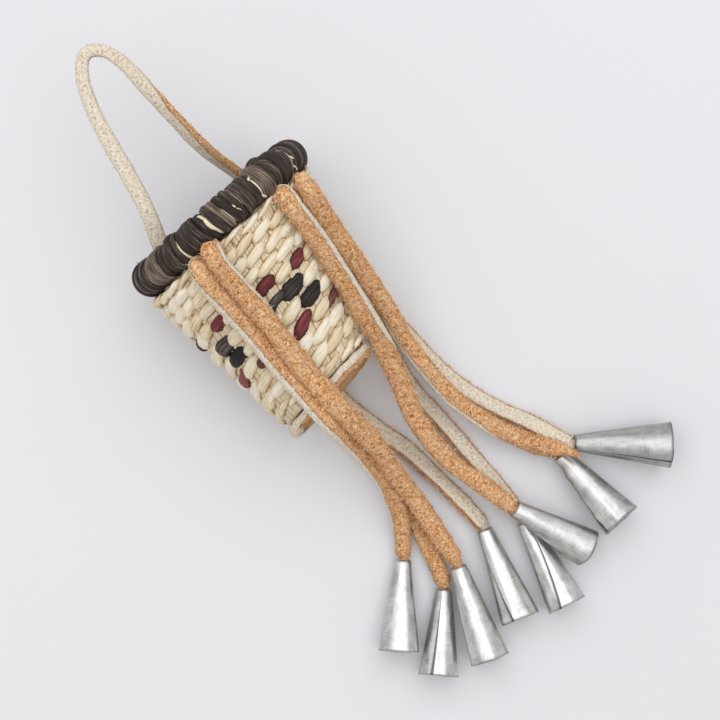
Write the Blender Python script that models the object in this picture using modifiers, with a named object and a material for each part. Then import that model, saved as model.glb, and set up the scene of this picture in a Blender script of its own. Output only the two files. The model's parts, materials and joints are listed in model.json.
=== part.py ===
"""A small twined burden basket lying on its side, with a lace handle and eight laces that end in tin cones.

The frame is +X from the open rim towards the leather base, +Z up, and z = 0 on the surface it lies on.
The basket's own frame has its origin at the hoop's centre and +X along the basket's axis.
"""

import math

import bmesh
import bpy
from mathutils import Matrix, Vector

MM = 0.001
GAP = 0.3  # left between pieces that touch
SLACK = 0.12  # more than that where a piece lies on a curved one

# Rim: a hoop of wood with one long strip wound round it
HOOP_RADIUS = 18.2
HOOP_THICKNESS = 2.8
WRAP_THICKNESS = 1.6
WRAP_LOOPS = 24
WRAP_POINTS_PER_LOOP = 10
WRAP_END_SHARE = 0.985  # of the full circle that the winding covers
FOOT_CUT = 0.5  # how deep the winding is cut flat where it rests

# Woven wall and floor
WALL_TOP = 3.8  # from the hoop's plane to the wall's top edge, along the axis
WALL_TOP_OUTSET = 1.7  # of the wall's top edge past the hoop's centre line
WALL_THICKNESS = 1.9
FLOOR_THICKNESS = 1.6
BASKET_LENGTH = 42.4  # from the hoop's plane to the outside of the leather base, along the axis
BASE_RADIUS = 11.5
BASE_THICKNESS = 2.6
BASE_EDGE_ROUND = 0.5
BASE_OVERHANG = 0.2  # of the leather past the wall
BASKET_LEAN = -6.4  # sideways drift of the base, because the basket is a little askew
BASKET_WIDTH_SHARE = 1.04  # of its height, because it lies a little flattened
BASE_SWING = 0.15  # slope of the base, which is further from the rim on the -Y side
BASE_DROP = 0.2  # and slope of the base, which is further from the rim on its lower side
BASE_CLEARANCE = 3.7  # under the base, where the back laces lie

# Laces
LACE_WIDTH = 3.1
LACE_END_SHARE = 0.6  # of its width, where a lace is squeezed into its cone
LACE_NECK = 1.2  # over which it narrows, above the cone
LACE_STEP = 7.6  # between the points of a lace's tube
FOLD_WIDTH = 2.2
HOLE_MARGIN = 1.0  # of wall above the holes that the folds pass through
FOLD_REACH = 2.6  # from those holes down to where each lace leaves its fold
LACE_GAP = 0.9  # between a fold's end and the lace that goes on from it
HINGE_LIFT = 1.7  # from a lace's centre line up or down to the axis that it bends about
PAIR_HINGE_DROP = 0.8  # of the one axis that two back laces share, below the middle of their own ones

# Handle
HANDLE_WIDTH = 2.6
HANDLE_TIP_WIDTH = 0.8
HANDLE_TIP_LENGTH = 2.0
HANDLE_PIVOT_OUT = 3.2  # from the hoop's plane out to the line that the handle swings about
HANDLE_PIVOT_GAP = 0.8
HANDLE_LEFT_ANGLE = -75.0
HANDLE_RIGHT_ANGLE = 141.0
HANDLE_END_DEPTH = 12.0  # how far down the inside its ends reach
HANDLE_STEP = 4.2
HANDLE_BEND_LOSS = 0.62  # that the tube's straight runs fall short of the route's bend

# Tin cones, rolled from sheet with the edges lapped
CONE_TOP_RADIUS = 1.95
CONE_SHEET = 0.25
CONE_LAP_RISE = 0.42  # how much the sheet spirals out from its inner edge to its outer one
CONE_LAP_ANGLE = 30.0
CONE_STEP_ANGLE = 15.0
CONE_FLOOR_GAP = 0.12
KNOT_RADIUS = 1.75
KNOT_DEPTH = 7.0  # from a cone's top to the middle of the knot inside it
KNOT_LENGTH_SHARE = 1.15

# Each lace: its angle round the rim (0 is the top of the lying basket, positive towards +Y), the points
# (distance from the hoop's plane, angle) where it lies on the wall, and its own route after that.
# Then its cone: the top's place, the heading in plan, the length, the mouth's radius and how far the lap is
# turned round.
LACES = {
    "front_left_outer": {
        "angle": -21.5,
        "on_wall": [(22.0, -20.4), (31.5, -19.5), (45.0, -13.4)],
        "route": [(49.3, -9.8, 21.6), (55.3, -9.8, 14.6), (61.0, -10.1, 9.4), (65.7, -11.4, 6.0), (70.0, -13.3, 3.7)],
        "cone": {"top": (76.8, -18.5, 2.1), "heading": -43.7, "length": 19.0, "mouth": 4.6, "lap": 200.0},
    },
    "front_left_inner": {
        "angle": -11.0,
        "on_wall": [(22.5, -7.8), (33.0, -6.0), (45.0, 0.6)],
        "route": [(52.2, -6.3, 20.0), (57.6, -6.9, 14.0), (62.9, -7.5, 10.0), (68.4, -7.9, 7.2), (73.6, -8.6, 5.3),
                  (78.8, -9.3, 4.2)],
        "cone": {"top": (85.2, -10.5, 3.9), "heading": -22.0, "length": 20.6, "mouth": 4.5, "lap": 160.0},
    },
    "front_right_inner": {
        "angle": 38.5,
        "on_wall": [],
        "route": [(16.2, 11.6, 32.0), (24.1, 10.5, 27.6), (32.1, 9.3, 22.8), (38.2, 8.3, 19.0), (46.9, 6.0, 14.5),
                  (55.5, 3.2, 10.5), (66.5, 2.7, 7.0), (73.5, 4.3, 6.0), (79.5, 5.7, 6.8)],
        "cone": {"top": (83.2, 6.7, 7.6), "heading": 20.5, "length": 18.6, "mouth": 4.15, "lap": -60.0},
    },
    "front_right_outer": {
        "angle": 54.0,
        "on_wall": [],
        "route": [(12.0, 15.7, 30.2), (18.7, 15.1, 25.6), (26.9, 14.4, 20.0), (35.3, 13.4, 15.0), (41.3, 12.2, 12.0),
                  (52.0, 11.8, 8.5), (58.5, 12.2, 6.6), (67.0, 14.4, 4.9), (75.1, 18.2, 3.4)],
        "cone": {"top": (81.8, 21.6, 2.3), "heading": 1.0, "length": 19.3, "mouth": 4.9, "lap": 70.0},
    },
    "back_left_outer": {
        "angle": -135.0,
        "on_wall": [],
        "route": [(20.4, -13.2, 2.2), (30.4, -11.2, 1.7), (39.3, -10.0, 1.7), (48.4, -9.4, 1.7),
                  (55.5, -8.9, 1.7), (62.9, -8.5, 1.7), (67.7, -9.4, 1.7), (72.2, -10.8, 1.7), (78.0, -12.5, 1.7)],
        "cone": {"top": (87.1, -16.1, 2.1), "heading": -45.0, "length": 18.4, "mouth": 4.6, "lap": 95.0},
    },
    "back_left_inner": {
        "angle": -147.0,
        "on_wall": [],
        "route": [(18.4, -9.8, 1.65), (28.4, -7.8, 1.65), (38.0, -6.4, 1.7), (44.4, -5.9, 1.7), (51.7, -4.4, 1.7),
                  (59.2, -2.5, 1.7), (67.4, -1.6, 1.7), (76.3, -0.9, 1.7)],
        "cone": {"top": (83.2, -1.2, 2.1), "heading": -19.4, "length": 20.6, "mouth": 4.6, "lap": 120.0},
    },
    "back_right_inner": {
        "angle": 147.0,
        "on_wall": [],
        "route": [(18.4, 10.1, 1.65), (28.4, 10.1, 1.7), (38.0, 9.2, 1.7), (49.1, 7.1, 1.7), (59.8, 7.2, 1.7),
                  (71.1, 7.1, 1.7), (79.5, 7.1, 1.8)],
        "cone": {"top": (87.5, 6.3, 2.1), "heading": -14.4, "length": 19.9, "mouth": 4.6, "lap": 30.0},
    },
    "back_right_outer": {
        "angle": 135.0,
        "on_wall": [],
        "route": [(18.4, 13.9, 2.4), (28.4, 13.8, 1.7), (38.9, 13.6, 1.7), (51.3, 14.1, 1.7),
                  (59.5, 15.7, 1.7), (66.7, 18.4, 1.7), (73.0, 21.4, 2.4)],
        "cone": {"top": (81.5, 25.2, 4.6), "heading": 48.0, "length": 20.2, "mouth": 5.3, "lap": 250.0},
    },
}
FOLDS = {
    "front_left_fold": ("front_left_outer", "front_left_inner"),
    "front_right_fold": ("front_right_inner", "front_right_outer"),
    "back_left_fold": ("back_left_outer", "back_left_inner"),
    "back_right_fold": ("back_right_inner", "back_right_outer"),
}
HANDLE_ROUTE = [(-10.6, -9.8, 26.8), (-18.6, -7.9, 27.2), (-26.6, -6.3, 27.3), (-33.6, -4.5, 27.2),
                (-39.0, -2.1, 27.0), (-42.0, 1.3, 26.8), (-40.0, 4.5, 26.5), (-35.0, 5.8, 25.9),
                (-28.1, 6.0, 24.4), (-20.6, 6.3, 21.8), (-13.6, 6.9, 18.2)]

WALL_TOP_RADIUS = HOOP_RADIUS + WALL_TOP_OUTSET
LACE_LIFT = GAP + SLACK + LACE_WIDTH / 2
FOLD_HOLE = WALL_TOP + HOLE_MARGIN + FOLD_WIDTH / 2 + GAP
LACE_START = FOLD_HOLE + FOLD_REACH
HOOP_PLANE_TO_BASE_TOP = BASKET_LENGTH - BASE_THICKNESS
WALL_BOTTOM = HOOP_PLANE_TO_BASE_TOP - GAP
WALL_BOTTOM_RADIUS = BASE_RADIUS - BASE_OVERHANG
WRAP_RADIUS = HOOP_THICKNESS / 2 + GAP + WRAP_THICKNESS / 2
RIM_RADIUS = HOOP_RADIUS + WRAP_RADIUS + WRAP_THICKNESS / 2

# The winding has a loop on each side of the rim's lowest point, so the rim stands on those two.
RIM_REACH = RIM_RADIUS * math.cos(math.pi / WRAP_LOOPS) - FOOT_CUT
RISE = RIM_REACH - BASE_RADIUS
LOW_SIDE = BASKET_LENGTH + BASE_DROP * BASE_RADIUS
TILT = math.atan2(RISE, LOW_SIDE) - math.asin(BASE_CLEARANCE / math.hypot(RISE, LOW_SIDE))
HOOP_HEIGHT = RIM_REACH * math.cos(TILT)

# The origin is under the middle of the basket and its handle together.
HANDLE_REACH = min(x for x, _, _ in HANDLE_ROUTE) - HANDLE_WIDTH / 2 + HANDLE_BEND_LOSS
BASE_FACING = math.hypot(BASE_SWING * math.cos(TILT), math.sin(TILT) - BASE_DROP * math.cos(TILT))
BASE_REACH = BASKET_LENGTH * math.cos(TILT) + BASE_RADIUS * BASE_FACING
HOOP_X = -HANDLE_REACH - BASE_REACH
BASKET_AXIS = Matrix.Translation((HOOP_X, 0, HOOP_HEIGHT)) @ Matrix.Rotation(TILT, 4, "Y")


def clear_scene():
    for obj in list(bpy.data.objects):
        bpy.data.objects.remove(obj, do_unlink=True)


def new_collection(name):
    collection = bpy.data.collections.new(name)
    bpy.context.scene.collection.children.link(collection)
    return collection


def metres(matrix):
    return Matrix.Translation(matrix.translation * MM) @ matrix.to_3x3().to_4x4()


def material(name, colour, roughness, metallic=0.0):
    made = bpy.data.materials.new(name)
    made.use_nodes = True
    shader = made.node_tree.nodes["Principled BSDF"]
    shader.inputs["Base Color"].default_value = (*colour, 1)
    shader.inputs["Roughness"].default_value = roughness
    shader.inputs["Metallic"].default_value = metallic
    return made


def add(mesh, name, finish, collection, parent=None, smooth_angle=40.0):
    """A named object for a mesh, shaded smooth except at its sharp edges."""
    mesh.shade_smooth()
    mesh.set_sharp_from_angle(angle=math.radians(smooth_angle))
    mesh.materials.clear()
    mesh.materials.append(finish)
    obj = bpy.data.objects.new(name, mesh)
    collection.objects.link(obj)
    obj.parent = parent
    return obj


def taken_mesh(obj):
    """The mesh of an object as the viewport evaluates it, in the world, with loose caps welded. The object goes."""
    bpy.context.view_layer.update()
    graph = bpy.context.evaluated_depsgraph_get()
    evaluated = obj.evaluated_get(graph)
    mesh = bpy.data.meshes.new_from_object(evaluated)
    mesh.transform(evaluated.matrix_world)
    bpy.data.objects.remove(obj, do_unlink=True)
    shape = bmesh.new()
    shape.from_mesh(mesh)
    bmesh.ops.remove_doubles(shape, verts=shape.verts, dist=1e-6)
    bmesh.ops.recalc_face_normals(shape, faces=shape.faces)
    shape.to_mesh(mesh)
    shape.free()
    return mesh


def askew(point):
    """Carries a point of a straight round basket to the one that leans, is flattened and has a sloping base."""
    along, across, up = point
    down_wall = max(0.0, (along - WALL_TOP) / (BASKET_LENGTH - WALL_TOP))
    return Vector((along - down_wall * (BASE_SWING * across + BASE_DROP * up),
                   along * BASKET_LEAN / BASKET_LENGTH + across * BASKET_WIDTH_SHARE, up))


def wall_radius(along):
    share = (along - WALL_TOP) / (WALL_BOTTOM - WALL_TOP)
    return WALL_TOP_RADIUS + share * (WALL_BOTTOM_RADIUS - WALL_TOP_RADIUS)


def in_basket(along, angle, radius):
    """A point of the askew basket in its own frame, from a distance along the axis, an angle and a radius."""
    turn = math.radians(angle)
    return askew((along, radius * math.sin(turn), radius * math.cos(turn)))


def on_wall(along, angle, lift):
    """A point in the part's frame, that far off the outside of the wall or of the leather base."""
    surface = wall_radius(along) if along < WALL_BOTTOM else BASE_RADIUS
    return BASKET_AXIS @ in_basket(along, angle, surface + lift)


def smooth_curve(points, step):
    """Points about one step apart on a Catmull-Rom curve through the given ones."""
    points = [Vector(p) for p in points]
    ends = [2 * points[0] - points[1], *points, 2 * points[-1] - points[-2]]
    fine = []
    for a, b, c, d in zip(ends, ends[1:], ends[2:], ends[3:]):
        for k in range(20):
            t = k / 20
            fine.append(0.5 * (2 * b + (c - a) * t + (2 * a - 5 * b + 4 * c - d) * t**2 + (3 * b - a - 3 * c + d) * t**3))
    fine.append(points[-1])
    along = [0.0]
    for a, b in zip(fine, fine[1:]):
        along.append(along[-1] + (b - a).length)
    count = max(2, math.ceil(along[-1] / step))
    found, i = [], 0
    for k in range(count + 1):
        wanted = along[-1] * k / count
        while i < len(fine) - 2 and along[i + 1] < wanted:
            i += 1
        share = (wanted - along[i]) / (along[i + 1] - along[i])
        found.append(fine[i].lerp(fine[i + 1], share))
    return found


def length_of(points):
    return sum((b - a).length for a, b in zip(points, points[1:]))


def tube_mesh(points, width, sides_level, shares=None):
    """A closed tube along a POLY spline. shares are each point's part of the full width."""
    curve = bpy.data.curves.new("tube", "CURVE")
    curve.dimensions = "3D"
    curve.bevel_depth = width / 2 * MM
    curve.bevel_resolution = sides_level
    curve.use_fill_caps = True
    spline = curve.splines.new("POLY")
    spline.points.add(len(points) - 1)
    for i, point in enumerate(points):
        spline.points[i].co = (*(Vector(point) * MM), 1)
        spline.points[i].radius = shares[i] if shares else 1.0
    obj = bpy.data.objects.new("tube", curve)
    bpy.context.scene.collection.objects.link(obj)
    mesh = taken_mesh(obj)
    bpy.data.curves.remove(curve)
    return mesh


def set_askew(mesh):
    for vertex in mesh.vertices:
        vertex.co = askew(vertex.co / MM) * MM


def turned_mesh(profile, steps):
    """A solid turned round the basket's axis from (radius, distance along the axis) points, askew like the basket."""
    mesh = bpy.data.meshes.new("profile")
    edges = [(i, i + 1) for i in range(len(profile) - 1)]
    mesh.from_pydata([(r * MM, 0, -along * MM) for r, along in profile], edges, [])
    obj = bpy.data.objects.new("profile", mesh)
    bpy.context.scene.collection.objects.link(obj)
    screw = obj.modifiers.new("Turn", "SCREW")
    screw.steps = screw.render_steps = steps
    screw.use_merge_vertices = True
    screw.merge_threshold = 1e-6
    obj.matrix_world = Matrix.Rotation(-math.pi / 2, 4, "Y")
    turned = taken_mesh(obj)
    bpy.data.meshes.remove(mesh)
    set_askew(turned)
    return turned


def cut(obj, cutter):
    boolean = obj.modifiers.new("Cut", "BOOLEAN")
    boolean.operation = "DIFFERENCE"
    boolean.object = cutter


def helper(obj, cutters):
    for collection in obj.users_collection:
        collection.objects.unlink(obj)
    cutters.objects.link(obj)
    obj.hide_render = True
    obj.display_type = "WIRE"
    return obj


def make_hoop(finish, parts, basket):
    bpy.ops.mesh.primitive_torus_add(major_radius=HOOP_RADIUS * MM, minor_radius=HOOP_THICKNESS / 2 * MM,
                                     major_segments=40, minor_segments=6, rotation=(0, math.pi / 2, 0))
    return add(taken_mesh(bpy.context.object), "rim_hoop", finish, parts, basket)


def wrap_points():
    """The centre line of the strip that winds round the hoop, as one helix bent into a circle."""
    count = WRAP_LOOPS * WRAP_POINTS_PER_LOOP
    found = []
    for i in range(count + 1):
        share = i / count
        round_hoop = math.radians(180 / WRAP_LOOPS) + math.tau * WRAP_END_SHARE * share
        round_strip = math.tau * WRAP_LOOPS * WRAP_END_SHARE * share
        radius = HOOP_RADIUS + WRAP_RADIUS * math.cos(round_strip)
        found.append(Vector((WRAP_RADIUS * math.sin(round_strip), radius * math.sin(round_hoop),
                             radius * math.cos(round_hoop))))
    return found


def least_gap(points, thickness, apart):
    """The smallest gap of a tube to itself, between points that many steps apart along it."""
    nearest = min((a - b).length for i, a in enumerate(points) for b in points[i + apart:])
    return nearest - thickness


def make_wrap(finish, parts, cutters, basket):
    points = wrap_points()
    print(f"rim winding: least gap to itself {least_gap(points, WRAP_THICKNESS, WRAP_POINTS_PER_LOOP // 2):.2f} mm")
    wrap = add(tube_mesh(points, WRAP_THICKNESS, 1), "rim_wrap", finish, parts, basket, 60)
    bpy.ops.mesh.primitive_cube_add(size=1)
    floor = helper(bpy.context.object, cutters)
    floor.name = "surface_below"
    side = 4 * RIM_RADIUS * MM
    floor.scale = (side, side, side)
    floor.location = (HOOP_X * MM, 0, -side / 2)
    cut(wrap, floor)
    return wrap


def make_wall(finish, parts, cutters, basket):
    inner_top = WALL_TOP_RADIUS - WALL_THICKNESS
    inner_bottom = WALL_BOTTOM_RADIUS - WALL_THICKNESS
    inside_floor = WALL_BOTTOM - FLOOR_THICKNESS
    profile = [(0, inside_floor), (inner_bottom, inside_floor), (inner_top, WALL_TOP), (WALL_TOP_RADIUS, WALL_TOP),
               (WALL_BOTTOM_RADIUS, WALL_BOTTOM), (0, WALL_BOTTOM)]
    wall = add(turned_mesh(profile, 48), "basket_wall", finish, parts, basket)
    for name, lace in LACES.items():
        hole_radius = FOLD_WIDTH / 2 + GAP + SLACK
        middle = in_basket(FOLD_HOLE, lace["angle"], wall_radius(FOLD_HOLE) - WALL_THICKNESS / 2)
        outward = in_basket(FOLD_HOLE, lace["angle"], 1) - in_basket(FOLD_HOLE, lace["angle"], 0)
        bpy.ops.mesh.primitive_cylinder_add(vertices=16, radius=hole_radius * MM, depth=4 * WALL_THICKNESS * MM)
        hole = helper(bpy.context.object, cutters)
        hole.name = f"{name}_hole"
        hole.parent = basket
        hole.matrix_local = Matrix.Translation(middle * MM) @ outward.to_track_quat("Z", "Y").to_matrix().to_4x4()
        cut(wall, hole)
    return wall


def make_base(finish, parts, basket):
    bpy.ops.mesh.primitive_cylinder_add(vertices=48, radius=BASE_RADIUS * MM, depth=BASE_THICKNESS * MM,
                                        rotation=(0, math.pi / 2, 0),
                                        location=((BASKET_LENGTH - BASE_THICKNESS / 2) * MM, 0, 0))
    mesh = taken_mesh(bpy.context.object)
    set_askew(mesh)
    base = add(mesh, "base_leather", finish, parts, basket)
    rounded = base.modifiers.new("Round", "BEVEL")
    rounded.width = BASE_EDGE_ROUND * MM
    rounded.segments = 2
    rounded.limit_method = "ANGLE"
    rounded.angle_limit = math.radians(60)
    return base


def lace_start(name):
    """Where a lace goes on from its fold, in the part's frame."""
    return on_wall(LACE_START, LACES[name]["angle"], LACE_LIFT)


def lace_hinge(name):
    """A point on the axis that a lace bends about, in the part's frame. Two back laces bend about one axis."""
    start = lace_start(name)
    if abs(LACES[name]["angle"]) < 90:
        return start + Vector((0, 0, HINGE_LIFT))
    pair = next(laces for laces in FOLDS.values() if name in laces)
    first, last = (lace_start(lace) for lace in pair)
    middle = (first + last) / 2
    return Vector((middle.x, start.y, middle.z - HINGE_LIFT - PAIR_HINGE_DROP))


def make_fold(name, laces, finish, parts):
    """The bight of one lace: out of the wall at each end, and across behind it."""
    first, last = (LACES[lace]["angle"] for lace in laces)
    middle = (first + last) / 2
    lift = LACE_LIFT
    behind = -WALL_THICKNESS - GAP - FOLD_WIDTH / 2
    half = [(LACE_START - LACE_GAP, lift), (FOLD_HOLE + 1.5, lift), (FOLD_HOLE + 0.35, lift - 0.5), (FOLD_HOLE, lift - 1.6),
            (FOLD_HOLE, -WALL_THICKNESS / 2), (FOLD_HOLE, behind + 0.7)]
    points = [on_wall(along, first, rise) for along, rise in half]
    points.append(on_wall(FOLD_HOLE, middle, behind - 0.5))
    points += [on_wall(along, last, rise) for along, rise in reversed(half)]
    return add(tube_mesh(smooth_curve(points, 1.1), FOLD_WIDTH, 2), name, finish, parts, None, 60)


def cone_pitch(cone):
    """How far a cone's axis dips towards its mouth, when the mouth's edge lies on the surface."""
    reach = math.hypot(cone["length"], cone["mouth"])
    return math.asin((cone["top"][2] - CONE_FLOOR_GAP) / reach) - math.atan2(cone["mouth"], cone["length"])


def cone_place(cone):
    """The matrix that carries a cone from the origin, with its axis along +Z, to where it lies."""
    pitch = cone_pitch(cone)
    heading = math.radians(cone["heading"])
    along = Vector((math.cos(pitch) * math.cos(heading), math.cos(pitch) * math.sin(heading), -math.sin(pitch)))
    turn = along.to_track_quat("Z", "Y").to_matrix().to_4x4()
    return Matrix.Translation(cone["top"]) @ turn @ Matrix.Rotation(math.radians(cone["lap"]), 4, "Z")


def lace_points(name):
    """The centre line of a lace from its fold to its knot, in the part's frame."""
    lace = LACES[name]
    route = [lace_start(name)]
    route += [on_wall(along, angle, LACE_LIFT) for along, angle in lace["on_wall"]]
    route += [Vector(p) for p in lace["route"]]
    place = cone_place(lace["cone"])
    route.append(place @ Vector((0, 0, -LACE_NECK)))
    lace_end = KNOT_DEPTH - KNOT_RADIUS * KNOT_LENGTH_SHARE - GAP
    return smooth_curve(route, LACE_STEP) + [place @ Vector((0, 0, 0)), place @ Vector((0, 0, lace_end))]


def make_lace(name, finish, parts, carrier):
    points = lace_points(name)
    shares = [1.0] * len(points)
    shares[-1] = shares[-2] = LACE_END_SHARE
    print(f"{name} lace: {length_of(points):.1f} mm long")
    return add(tube_mesh(points, LACE_WIDTH, 2, shares), f"{name}_lace", finish, parts, carrier, 60)


def cone_mesh(length, mouth):
    """A cone of sheet, rolled a little past one turn so that its edges lap, with its axis along +Z."""
    steps = round((360 + CONE_LAP_ANGLE) / CONE_STEP_ANGLE)
    shape = bmesh.new()
    rows = []
    for i in range(steps + 1):
        turn = math.radians(i * CONE_STEP_ANGLE)
        shrink = CONE_LAP_RISE * (1 - i / steps)
        row = []
        for radius, height in ((CONE_TOP_RADIUS - shrink, 0), (mouth - shrink, length)):
            place = (radius * math.cos(turn) * MM, radius * math.sin(turn) * MM, height * MM)
            row.append(shape.verts.new(place))
        rows.append(row)
    for (a, b), (c, d) in zip(rows, rows[1:]):
        shape.faces.new((a, c, d, b))
    mesh = bpy.data.meshes.new("tin_cone")
    shape.to_mesh(mesh)
    shape.free()
    return mesh


def make_cone(name, finish, parts, carrier):
    size = LACES[name]["cone"]
    cone = add(cone_mesh(size["length"], size["mouth"]), f"{name}_cone", finish, parts, carrier)
    cone.matrix_world = metres(cone_place(size))
    sheet = cone.modifiers.new("Sheet", "SOLIDIFY")
    sheet.thickness = CONE_SHEET * MM
    sheet.offset = -1
    return cone


def make_knot(name, finish, parts, carrier):
    bpy.ops.mesh.primitive_ico_sphere_add(subdivisions=2, radius=KNOT_RADIUS * MM)
    mesh = taken_mesh(bpy.context.object)
    mesh.transform(Matrix.Diagonal((1, 1, KNOT_LENGTH_SHARE, 1)))
    knot = add(mesh, f"{name}_knot", finish, parts, carrier, 80)
    knot.matrix_world = metres(cone_place(LACES[name]["cone"]) @ Matrix.Translation((0, 0, KNOT_DEPTH)))
    return knot


def handle_radius():
    """How far from the axis the handle's ends run, inside the winding and the folds."""
    inside_folds = wall_radius(FOLD_HOLE) - WALL_THICKNESS - FOLD_WIDTH - 3 * GAP
    return min(HOOP_RADIUS - WRAP_RADIUS - WRAP_THICKNESS / 2, inside_folds) - GAP - HANDLE_WIDTH / 2


def handle_pivot(angle):
    return BASKET_AXIS @ in_basket(-HANDLE_PIVOT_OUT, angle, handle_radius())


def tapered(points):
    """Width shares that narrow both ends of the handle to a tip at its pivots."""
    tip = HANDLE_TIP_WIDTH / HANDLE_WIDTH
    shares = []
    total = length_of(points)
    travelled = 0.0
    for i, point in enumerate(points):
        if i:
            travelled += (point - points[i - 1]).length
        from_end = min(travelled, total - travelled)
        shares.append(min(1.0, tip + (1 - tip) * from_end / HANDLE_TIP_LENGTH))
    return shares


def make_handle(finish, parts, carrier):
    pivots = [handle_pivot(HANDLE_LEFT_ANGLE), handle_pivot(HANDLE_RIGHT_ANGLE)]
    points = smooth_curve([pivots[0], *HANDLE_ROUTE, pivots[1]], HANDLE_STEP)
    for end, neighbour in ((0, 1), (-1, -2)):
        inward = (points[neighbour] - points[end]).normalized()
        points[end] = points[end] + inward * HANDLE_PIVOT_GAP / 2
    points.insert(1, points[0] + (points[1] - points[0]).normalized() * HANDLE_TIP_LENGTH)
    points.insert(-1, points[-1] + (points[-2] - points[-1]).normalized() * HANDLE_TIP_LENGTH)
    print(f"handle: {length_of(points):.1f} mm long")
    mesh = tube_mesh(points, HANDLE_WIDTH, 2, tapered(points))
    return add(mesh, "handle_lace", finish, parts, carrier, 60)


def make_handle_end(name, angle, finish, parts):
    """The end of the handle's lace that lies down the inside of the wall."""
    start = -HANDLE_PIVOT_OUT + HANDLE_PIVOT_GAP / 2
    inside = wall_radius(HANDLE_END_DEPTH) - WALL_THICKNESS - GAP - HANDLE_WIDTH / 2
    tip = in_basket(start, angle, handle_radius())
    full = in_basket(start + HANDLE_TIP_LENGTH, angle, handle_radius())
    past_fold = in_basket(FOLD_HOLE + FOLD_WIDTH / 2 + GAP, angle, handle_radius())
    foot = in_basket(HANDLE_END_DEPTH, angle, inside)
    points = [BASKET_AXIS @ p for p in (tip, full, past_fold, foot)]
    shares = [HANDLE_TIP_WIDTH / HANDLE_WIDTH, 1, 1, 1]
    return add(tube_mesh(points, HANDLE_WIDTH, 2, shares), name, finish, parts, None, 60)


def carrier_at(name, place, parts):
    """An empty on a joint's axis, which carries the pieces that move with it."""
    empty = bpy.data.objects.new(name, None)
    empty.location = Vector(place) * MM
    parts.objects.link(empty)
    bpy.context.view_layer.update()
    return empty


def keep_place(obj):
    """Undoes the parent's offset for a piece whose mesh is already in the part's frame."""
    obj.matrix_parent_inverse = obj.parent.matrix_world.inverted()


def main():
    clear_scene()
    parts = new_collection("burden_basket")
    cutters = new_collection("cutters")
    straw = material("straw", (0.78, 0.68, 0.46), 0.75)
    wood = material("wood", (0.72, 0.62, 0.44), 0.7)
    bark = material("dark_splint", (0.07, 0.05, 0.04), 0.6)
    leather = material("leather", (0.70, 0.42, 0.20), 0.9)
    tin = material("tin", (0.72, 0.72, 0.70), 0.3, 1.0)

    basket = bpy.data.objects.new("basket_axis", None)
    parts.objects.link(basket)
    basket.matrix_world = metres(BASKET_AXIS)
    bpy.context.view_layer.update()

    make_hoop(wood, parts, basket)
    make_wrap(bark, parts, cutters, basket)
    make_wall(straw, parts, cutters, basket)
    make_base(leather, parts, basket)
    for name, laces in FOLDS.items():
        make_fold(name, laces, leather, parts)

    pivot = handle_pivot(HANDLE_LEFT_ANGLE)
    swing = carrier_at("handle_pivot", pivot, parts)
    keep_place(make_handle(leather, parts, swing))
    for name, angle in (("handle_end_left", HANDLE_LEFT_ANGLE), ("handle_end_right", HANDLE_RIGHT_ANGLE)):
        make_handle_end(name, angle, leather, parts)
    other = handle_pivot(HANDLE_RIGHT_ANGLE)
    print("handle pivots", [round(v, 2) for v in pivot], [round(v, 2) for v in other])

    for name in LACES:
        hinge = lace_hinge(name)
        bend = carrier_at(f"{name}_bend", hinge, parts)
        keep_place(make_lace(name, leather, parts, bend))
        make_cone(name, tin, parts, bend)
        make_knot(name, leather, parts, bend)
        print(f"{name} hinge", [round(v, 2) for v in hinge])


main()
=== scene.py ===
"""A miniature burden basket lying on its side on a pale table, seen from straight above.

Sizes are in millimetres until a mesh is made. The frame is the CAD model's: +X from the rim towards the
leather base, +Z up, and z = 0 on the table. The basket's own frame has its origin at the hoop's centre and +X
along the basket's axis.
"""

import json
import math
import random
from itertools import accumulate
from math import cos, exp, radians, sin, tau

import bpy
from mathutils import Matrix, Vector, noise


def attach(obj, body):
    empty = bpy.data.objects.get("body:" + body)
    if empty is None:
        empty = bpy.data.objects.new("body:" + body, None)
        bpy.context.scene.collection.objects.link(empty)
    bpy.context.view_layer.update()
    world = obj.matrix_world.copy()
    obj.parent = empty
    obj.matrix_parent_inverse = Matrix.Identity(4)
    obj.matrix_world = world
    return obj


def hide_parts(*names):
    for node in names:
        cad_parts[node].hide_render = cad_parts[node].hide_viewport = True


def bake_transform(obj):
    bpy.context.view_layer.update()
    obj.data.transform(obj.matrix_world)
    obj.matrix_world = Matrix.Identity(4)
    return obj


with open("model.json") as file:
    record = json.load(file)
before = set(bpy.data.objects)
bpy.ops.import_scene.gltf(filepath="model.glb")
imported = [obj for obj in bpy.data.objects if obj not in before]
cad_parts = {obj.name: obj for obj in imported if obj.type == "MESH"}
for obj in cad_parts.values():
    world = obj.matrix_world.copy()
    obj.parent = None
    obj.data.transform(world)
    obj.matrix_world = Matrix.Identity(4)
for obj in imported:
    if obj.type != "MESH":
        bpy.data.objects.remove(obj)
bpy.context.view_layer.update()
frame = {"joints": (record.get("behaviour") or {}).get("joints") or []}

MM = 0.001
UP = Vector((0, 0, 1))
JOINTS = {joint["name"]: joint for joint in frame["joints"]}

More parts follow.
